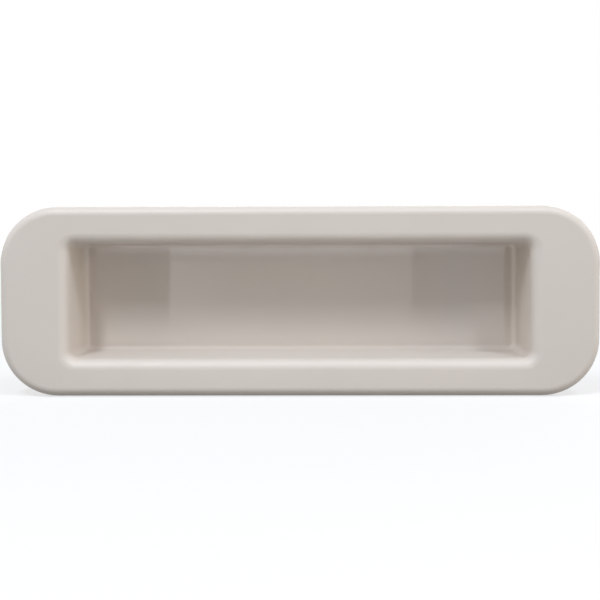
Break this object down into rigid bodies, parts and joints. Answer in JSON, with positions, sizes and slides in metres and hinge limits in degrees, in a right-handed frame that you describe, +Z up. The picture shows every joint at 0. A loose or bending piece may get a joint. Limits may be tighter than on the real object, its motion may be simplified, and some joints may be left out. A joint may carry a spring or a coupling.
{
  "type": "flush pull handle",
  "caption": "One-piece moulded plastic flush pull for a shutter or sliding panel: a flat rounded flange with a box-shaped finger recess behind a rounded lip.",
  "frame": {"origin": "middle of the seat, the plane where the flange's rim lies on the panel's front", "axes": "+X along the handle to the right of someone who faces it, +Y into the panel, +Z up"},
  "size_m": [0.12, 0.0158, 0.038],
  "materials": {
    "moulded_plastic": "glossy light warm grey, moulded through"
  },
  "bodies": {
    "root": {"flush_handle": "moulded_plastic"}
  },
  "joints": []
}
